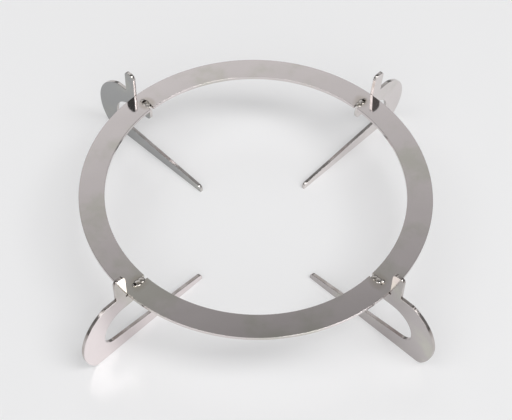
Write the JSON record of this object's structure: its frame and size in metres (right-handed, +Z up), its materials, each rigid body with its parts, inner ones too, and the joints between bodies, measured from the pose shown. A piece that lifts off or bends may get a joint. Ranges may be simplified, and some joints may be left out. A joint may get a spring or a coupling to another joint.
{
  "type": "burner grate",
  "caption": "Flat sheet-steel ring on upright plate legs, each with a prong above the ring and a finger that reaches in along the floor, to hold a pan over a gas burner.",
  "frame": {"origin": "on the ring's axis, in the plane that the feet stand on", "axes": "+Z up along the ring's axis; the legs stand half-way between the X and Y axes"},
  "size_m": [0.2, 0.2, 0.0595],
  "materials": {
    "stainless_sheet": "bright polished sheet with cut edges",
    "weld_metal": "rippled weld bead with a brown heat tint beside it"
  },
  "bodies": {
    "root": {"ring": "stainless_sheet", "leg_front_left": "stainless_sheet", "leg_front_right": "stainless_sheet", "leg_rear_left": "stainless_sheet", "leg_rear_right": "stainless_sheet", "weld_front_left": "weld_metal", "weld_front_right": "weld_metal", "weld_rear_left": "weld_metal", "weld_rear_right": "weld_metal"}
  },
  "joints": []
}
